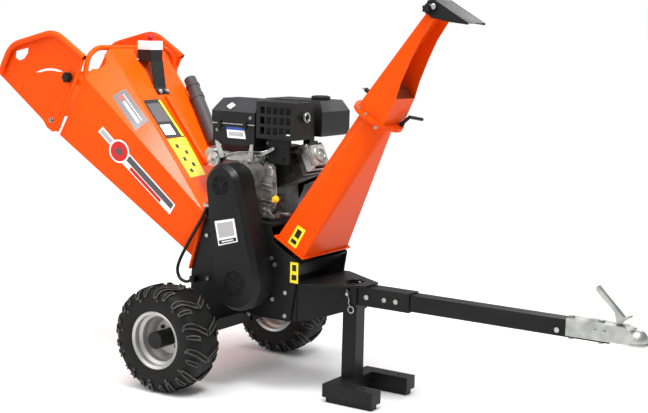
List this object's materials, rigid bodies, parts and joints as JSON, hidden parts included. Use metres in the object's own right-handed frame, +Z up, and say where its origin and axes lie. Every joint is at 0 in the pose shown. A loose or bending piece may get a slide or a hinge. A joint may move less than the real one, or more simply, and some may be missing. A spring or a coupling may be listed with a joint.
{
  "type": "wood chipper",
  "caption": "Towable petrol wood chipper: wide feed hopper with folding tray, belt-driven drum rotor, swivelling discharge chute, two wheels, drawbar with ball coupler and a prop stand.",
  "frame": {"origin": "on the ground under the middle of the machine's length and width", "axes": "+X towards the tow hitch, +Y to the machine's left, +Z up"},
  "size_m": [2.7099, 0.916, 1.4807],
  "materials": {
    "orange_paint": "gloss powder coat",
    "black_paint": "satin powder coat",
    "tyre_rubber": "matte",
    "rubber": "matte",
    "silver_rim": "silver paint",
    "zinc": "zinc plated",
    "knife_steel": "ground",
    "cast": "as cast",
    "alloy": "die cast",
    "black_plastic": "matte",
    "grey_plastic": "matte",
    "red_plastic": "gloss"
  },
  "bodies": {
    "chassis": {"axle_beam": "black_paint", "side_plate_right": "black_paint", "side_plate_left": "black_paint", "rotor_casing": "black_paint", "anvil_knife": "knife_steel", "rotor_bearings": "cast", "engine_deck": "black_paint", "drive_belts": "rubber", "belt_guard_back": "black_paint", "belt_guard": "black_paint", "chassis_frame": "black_paint", "drawbar_receiver": "black_paint", "tow_bar": "black_paint", "frame_bolts": "zinc", "coupler_body": "zinc", "coupler_ball_seat": "cast", "feed_hopper": "orange_paint", "hopper_hoop": "orange_paint", "hopper_flange": "orange_paint", "cable_conduit": "orange_paint", "stop_bracket": "black_paint", "stop_box": "black_plastic", "manual_tube": "grey_plastic", "stop_cable": "rubber", "chute": "orange_paint", "crankcase": "alloy", "cylinder_block": "alloy", "valve_cover": "alloy", "blower_housing": "black_paint", "fuel_tank": "black_plastic", "air_cleaner": "black_plastic", "muffler": "black_paint", "starter_motor": "zinc", "control_plate": "zinc"},
    "wheel_right": {"tyre_right": "tyre_rubber", "rim_right": "silver_rim", "hub_right": "black_paint"},
    "wheel_left": {"tyre_left": "tyre_rubber", "rim_left": "silver_rim", "hub_left": "black_paint"},
    "rotor": {"rotor_drum": "cast", "rotor_knives": "knife_steel", "rotor_pulley": "cast"},
    "crank": {"crank_pulley": "cast"},
    "stand": {"stand_leg": "black_paint", "stand_pads": "black_paint"},
    "pin": {"stand_pin": "zinc"},
    "latch": {"coupler_latch": "zinc"},
    "tray": {"feed_tray": "orange_paint", "tray_tube": "orange_paint"},
    "knob_right": {"tray_knob_right": "black_plastic"},
    "knob_left": {"tray_knob_left": "black_plastic"},
    "button": {"stop_button": "red_plastic"},
    "cap": {"manual_cap": "grey_plastic"},
    "spout": {"spout": "orange_paint"},
    "clamp": {"chute_clamp": "black_plastic"},
    "flap": {"spout_flap": "black_paint"},
    "flap_knob": {"flap_knob": "black_plastic"},
    "recoil": {"recoil_handle": "black_plastic"},
    "throttle": {"throttle_lever": "zinc"}
  },
  "joints": [
    {"name": "wheel_right_spin", "type": "hinge", "parent": "chassis", "child": "wheel_right", "pos_m": [-0.371, -0.378, 0.203], "axis": [0, 1, 0], "continuous": true},
    {"name": "wheel_left_spin", "type": "hinge", "parent": "chassis", "child": "wheel_left", "pos_m": [-0.371, 0.378, 0.203], "axis": [0, 1, 0], "continuous": true},
    {"name": "rotor_spin", "type": "hinge", "parent": "chassis", "child": "rotor", "pos_m": [-0.137, 0, 0.422], "axis": [0, 1, 0], "continuous": true},
    {"name": "crank_spin", "type": "hinge", "parent": "chassis", "child": "crank", "pos_m": [-0.208, -0.2, 0.784], "axis": [0, 1, 0], "continuous": true},
    {"name": "stand_slide", "type": "slide", "parent": "chassis", "child": "stand", "axis": [0, 0, 1], "range_m": [0, 0.12]},
    {"name": "stand_pin_slide", "type": "slide", "parent": "stand", "child": "pin", "axis": [0, -1, 0], "range_m": [0, 0.1]},
    {"name": "latch_lift", "type": "hinge", "parent": "chassis", "child": "latch", "pos_m": [1.253, 0, 0.435], "axis": [0, 1, 0], "range_deg": [-38, 10]},
    {"name": "tray_fold", "type": "hinge", "parent": "chassis", "child": "tray", "pos_m": [-1.058, 0, 0.976], "axis": [0, 1, 0], "range_deg": [0, 84]},
    {"name": "tray_knob_right_turn", "type": "hinge", "parent": "chassis", "child": "knob_right", "pos_m": [-0.9565, -0.3, 1.1518], "axis": [0, 1, 0], "range_deg": [-180, 180]},
    {"name": "tray_knob_left_turn", "type": "hinge", "parent": "chassis", "child": "knob_left", "pos_m": [-0.9565, 0.3, 1.1518], "axis": [0, 1, 0], "range_deg": [-180, 180]},
    {"name": "stop_press", "type": "slide", "parent": "chassis", "child": "button", "axis": [0, 0, -1], "range_m": [0, 0.006], "stiffness_N_per_m": 1500},
    {"name": "cap_pull", "type": "slide", "parent": "chassis", "child": "cap", "axis": [-0.6091, 0.2419, 0.7553], "range_m": [0, 0.12]},
    {"name": "spout_swivel", "type": "hinge", "parent": "chassis", "child": "spout", "pos_m": [0.30725, 0, 1.06478], "axis": [0.4848, 0, 0.8746], "range_deg": [-180, 180]},
    {"name": "clamp_turn", "type": "hinge", "parent": "spout", "child": "clamp", "pos_m": [0.38158, 0.036, 1.03387], "axis": [0.4848, 0, 0.8746], "range_deg": [-45, 15]},
    {"name": "flap_tilt", "type": "hinge", "parent": "spout", "child": "flap", "pos_m": [0.54989, 0, 1.45508], "axis": [0, 1, 0], "range_deg": [-30, 25]},
    {"name": "flap_knob_turn", "type": "hinge", "parent": "spout", "child": "flap_knob", "pos_m": [0.52941, -0.08, 1.447], "axis": [0, 1, 0], "range_deg": [-180, 180]},
    {"name": "recoil_pull", "type": "slide", "parent": "chassis", "child": "recoil", "axis": [0, 1, 0], "range_m": [0, 0.3], "stiffness_N_per_m": 20},
    {"name": "throttle_turn", "type": "hinge", "parent": "chassis", "child": "throttle", "pos_m": [-0.163, -0.154, 0.868], "axis": [0, 1, 0], "range_deg": [-30, 30]}
  ],
  "couplings": [
    {"joint": "crank_spin", "follows": "rotor_spin", "ratio": 1.6}
  ]
}
